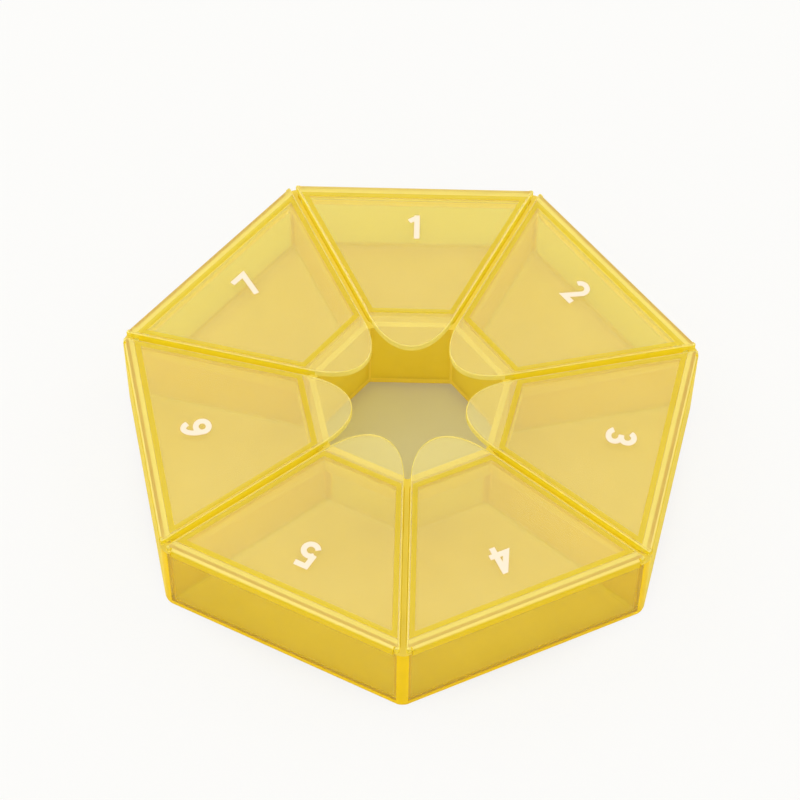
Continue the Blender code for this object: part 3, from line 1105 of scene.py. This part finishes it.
def mix_values(tree, kind, share, first, second):
    """Mix two numbers or colours, each a socket or a value, and return the mixture's socket."""
    mix = add_node(tree, "ShaderNodeMix", data_type=kind)
    tree.links.new(share, mix.inputs["Factor"])
    start, end = (6, 2) if kind == "RGBA" else (2, 0)
    for index, value in ((start, first), (start + 1, second)):
        if isinstance(value, bpy.types.NodeSocket):
            tree.links.new(value, mix.inputs[index])
        else:
            mix.inputs[index].default_value = value
    return mix.outputs[end]


def mix_shaders(tree, share, first, second):
    """Mix two shaders and return the mixture."""
    mix = add_node(tree, "ShaderNodeMixShader")
    tree.links.new(share, mix.inputs["Fac"])
    tree.links.new(first.outputs[0], mix.inputs[1])
    tree.links.new(second.outputs[0], mix.inputs[2])
    return mix


def clear_plastic(name, finish, sizes):
    """Return the clear yellow plastic: glossy, a little milky, deeper in colour where thick, and
    lighter with painted light and painted highlights where marked.
    """
    material = bpy.data.materials.new(name)
    material.use_nodes = True
    tree = material.node_tree
    link = tree.links.new
    place = add_node(tree, "ShaderNodeTexCoord")
    way = add_node(tree, "ShaderNodeSeparateXYZ")
    link(place.outputs["Normal"], way.inputs[0])
    level = add_node(tree, "ShaderNodeMath", operation="ABSOLUTE")
    link(way.outputs["Z"], level.inputs[0])
    side = smooth_step(tree, level.outputs[0], SIDE_FROM, SIDE_FULL, 1)
    thick, bright, dim = (
        add_node(tree, "ShaderNodeAttribute", attribute_name=mark).outputs["Fac"]
        for mark in ("thick", "bright", "dim")
    )

    noise = add_node(
        tree, "ShaderNodeTexNoise", Scale=FLOW_SCALE, Detail=2, Roughness=FLOW_ROUGHNESS
    )
    link(place.outputs["Object"], noise.inputs["Vector"])
    flow = noise.outputs["Fac"]
    polish = between(
        tree, flow, sizes.rough * (1 - ROUGH_SPREAD), sizes.rough * (1 + ROUGH_SPREAD)
    )
    wave = add_node(tree, "ShaderNodeBump", Strength=WAVE_STRENGTH, Distance=WAVE_HEIGHT)
    link(flow, wave.inputs["Height"])

    amount = between(tree, side, sizes.haze_level, sizes.haze_side)
    colour = mix_values(tree, "RGBA", side, sizes.pale, finish.edge)
    # Faces with painted light take its colour and more haze
    for mark, share, hue in (
        (thick, sizes.haze_thick, sizes.deep), (bright, PAINTED_LIGHT_SHARE, finish.bright)
    ):
        amount = mix_values(tree, "FLOAT", mark, amount, share)
        colour = mix_values(tree, "RGBA", mark, colour, hue)
    milky = product(tree, amount, between(tree, flow, 1 - HAZE_SPREAD, 1 + HAZE_SPREAD))

    glass = tree.nodes["Principled BSDF"]
    glass.inputs["Base Color"].default_value = WHITE
    glass.inputs["Transmission Weight"].default_value = 1
    haze = add_node(tree, "ShaderNodeBsdfPrincipled")
    link(colour, haze.inputs["Base Color"])
    for shader in (glass, haze):
        shader.inputs["IOR"].default_value = REFRACTION
        shader.inputs["Specular IOR Level"].default_value = sizes.gloss
        link(polish, shader.inputs["Roughness"])
        link(wave.outputs["Normal"], shader.inputs["Normal"])
    glow = add_node(tree, "ShaderNodeBsdfTranslucent")
    link(colour, glow.inputs["Color"])
    glowing = between(tree, side, GLOW_LEVEL, GLOW_SIDE)
    through = mix_values(tree, "FLOAT", dim, glowing, GLOW_THICK)
    milk = mix_shaders(tree, through, haze, glow)
    clear = mix_shaders(tree, milky, glass, milk)

    slant = add_node(tree, "ShaderNodeLayerWeight")
    flank = smooth_step(tree, slant.outputs["Facing"], FLANK_FROM, FLANK_FULL, FLANK_SHARE)
    matt = add_node(tree, "ShaderNodeBsdfDiffuse", Color=finish.flank)
    surface = mix_shaders(tree, product(tree, flank, side), clear, matt)

    let_on = mix_values(tree, "RGBA", side, sizes.pass_level, sizes.pass_side)
    let_less = mix_values(tree, "RGBA", dim, let_on, finish.pass_dim)
    passing = add_node(tree, "ShaderNodeBsdfTransparent")
    link(let_less, passing.inputs["Color"])
    path = add_node(tree, "ShaderNodeLightPath")
    for ray in ("Is Shadow Ray", "Is Diffuse Ray"):
        surface = mix_shaders(tree, path.outputs[ray], surface, passing)
    output = tree.nodes["Material Output"]
    link(surface.outputs[0], output.inputs["Surface"])
    depth = add_node(tree, "ShaderNodeVolumeAbsorption", Color=sizes.depth, Density=sizes.density)
    link(depth.outputs[0], output.inputs["Volume"])
    return material


def print_ink(name, finish):
    """Return the cream print."""
    material = bpy.data.materials.new(name)
    material.use_nodes = True
    shader = material.node_tree.nodes["Principled BSDF"]
    shader.inputs["Base Color"].default_value = finish.ink
    shader.inputs["Roughness"].default_value = INK_ROUGHNESS
    return material


def add_sky():
    """Light the scene from all sides, more from low down, before a plain white background."""
    world = bpy.data.worlds.new("studio")
    bpy.context.scene.world = world
    world.use_nodes = True
    tree = world.node_tree
    link = tree.links.new
    shown = tree.nodes["Background"]
    shown.inputs["Color"].default_value = WHITE
    place = add_node(tree, "ShaderNodeTexCoord")
    height = add_node(tree, "ShaderNodeSeparateXYZ")
    link(place.outputs["Generated"], height.inputs[0])
    link(between(tree, height.outputs["Z"], SKY_LOW, SKY_HIGH), shown.inputs["Strength"])
    white = add_node(tree, "ShaderNodeBackground", Color=WHITE, Strength=1)
    path = add_node(tree, "ShaderNodeLightPath")
    for ray in ("Is Camera Ray", "Is Glossy Ray", "Is Transmission Ray"):
        shown = mix_shaders(tree, path.outputs[ray], shown, white)
    link(shown.outputs[0], tree.nodes["World Output"].inputs["Surface"])


def whiten_backdrop(material, shader):
    """Let the camera see the floor outside the ring nearer to plain white."""
    tree = material.node_tree
    link = tree.links.new
    place = add_node(tree, "ShaderNodeTexCoord")
    reach = add_node(tree, "ShaderNodeVectorMath", operation="LENGTH")
    link(place.outputs["Object"], reach.inputs[0])
    # Outside the ring this paints the object's shadow mostly away with white; in the hole the floor
    # keeps its shade and its painted yellow light
    inner = HOLE_APOTHEM + PARTITION
    share = smooth_step(tree, reach.outputs["Value"], inner, RING_TIP, WHITER_SHARE)
    path = add_node(tree, "ShaderNodeLightPath")
    seen = product(tree, path.outputs["Is Camera Ray"], share)
    white = add_node(tree, "ShaderNodeEmission", Color=WHITE, Strength=1)
    mix = mix_shaders(tree, seen, shader, white)
    link(mix.outputs[0], tree.nodes["Material Output"].inputs["Surface"])


def add_lamp(name, place, size, power):
    """Add a square area lamp that looks at the object."""
    data = bpy.data.lights.new(name, "AREA")
    data.size = size
    data.energy = power
    lamp = bpy.data.objects.new(name, data)
    bpy.context.scene.collection.objects.link(lamp)
    lamp.location = place
    lamp.rotation_euler = (-Vector(place)).to_track_quat("-Z", "Y").to_euler()


def add_camera():
    """Add the camera where the photograph was taken from."""
    data = bpy.data.cameras.new("camera")
    data.sensor_width = SENSOR_WIDTH
    data.lens = FOCAL_LENGTH * SENSOR_WIDTH / PICTURE_WIDTH
    data.clip_start = NEAREST
    forward = Vector((
        math.sin(AZIMUTH) * math.cos(ELEVATION),
        math.cos(AZIMUTH) * math.cos(ELEVATION),
        -math.sin(ELEVATION),
    ))
    level = Vector((math.cos(AZIMUTH), -math.sin(AZIMUTH), 0))
    above = level.cross(forward)
    right = level * math.cos(ROLL) + above * math.sin(ROLL)
    up = above * math.cos(ROLL) - level * math.sin(ROLL)
    camera = bpy.data.objects.new("camera", data)
    bpy.context.scene.collection.objects.link(camera)
    place = CAMERA_PLACE * CAMERA_UNIT + Vector((0, RING_AXIS_Y, 0))
    turn = Matrix((right, up, -forward)).transposed().to_4x4()
    camera.matrix_world = Matrix.Translation(place) @ turn
    bpy.context.scene.camera = camera


class OBJECT_OT_pill_stage(bpy.types.Operator):
    """Build the floor, the lights and the camera"""

    bl_idname = "object.pill_stage"
    bl_label = "Stage"

    def execute(self, context):
        bpy.ops.object.select_all(action="DESELECT")
        bpy.ops.mesh.primitive_plane_add(size=FLOOR_SIZE, location=(0, 0, -SAME_PLACE))
        floor = context.active_object
        floor.name = "floor"
        material = bpy.data.materials.new("floor_paint")
        material.use_nodes = True
        shader = material.node_tree.nodes["Principled BSDF"]
        shader.inputs["Base Color"].default_value = context.scene.pill_finish.floor
        shader.inputs["Roughness"].default_value = FLOOR_ROUGHNESS
        shader.inputs["Specular IOR Level"].default_value = FLOOR_GLOSS
        whiten_backdrop(material, shader)
        floor.data.materials.append(material)

        add_sky()
        for lamp in LAMPS:
            add_lamp(*lamp)
        add_camera()

        scene = context.scene
        scene.view_settings.view_transform = "Standard"
        scene.cycles.caustics_refractive = False
        scene.cycles.caustics_reflective = False
        scene.cycles.max_bounces = BOUNCES
        scene.cycles.transmission_bounces = BOUNCES
        scene.cycles.transparent_max_bounces = BOUNCES
        return {"FINISHED"}


class VIEW3D_PT_pill_organizer(bpy.types.Panel):
    """Lists the steps that build the pill organizer"""

    bl_idname = "VIEW3D_PT_pill_organizer"
    bl_label = "Pill organizer"
    bl_space_type = "VIEW_3D"
    bl_region_type = "UI"
    bl_category = "Pill organizer"

    def draw(self, context):
        for step in STEPS:
            self.layout.operator(step.bl_idname)


SETTINGS = {
    "pill_tray": TraySettings,
    "pill_lid": LidSettings,
    "pill_film": FilmSettings,
    "pill_finish": FinishSettings,
}
STEPS = [
    OBJECT_OT_pill_tray,
    OBJECT_OT_pill_lids,
    OBJECT_OT_pill_films,
    OBJECT_OT_pill_numerals,
    OBJECT_OT_pill_stage,
]


def register():
    """Register the settings, the steps and the panel."""
    for name, group in SETTINGS.items():
        bpy.utils.register_class(group)
        setattr(bpy.types.Scene, name, bpy.props.PointerProperty(type=group))
    for step in STEPS:
        bpy.utils.register_class(step)
    bpy.utils.register_class(VIEW3D_PT_pill_organizer)


def unregister():
    """Take back what register did."""
    bpy.utils.unregister_class(VIEW3D_PT_pill_organizer)
    for step in reversed(STEPS):
        bpy.utils.unregister_class(step)
    for name, group in reversed(list(SETTINGS.items())):
        delattr(bpy.types.Scene, name)
        bpy.utils.unregister_class(group)


def main():
    """Build everything."""
    register()
    bpy.ops.object.select_all(action="DESELECT")
    bpy.ops.object.pill_tray()
    bpy.ops.object.pill_lids()
    bpy.ops.object.pill_films()
    bpy.ops.object.pill_numerals()
    bpy.ops.object.pill_stage()


if __name__ == "__main__":
    main()
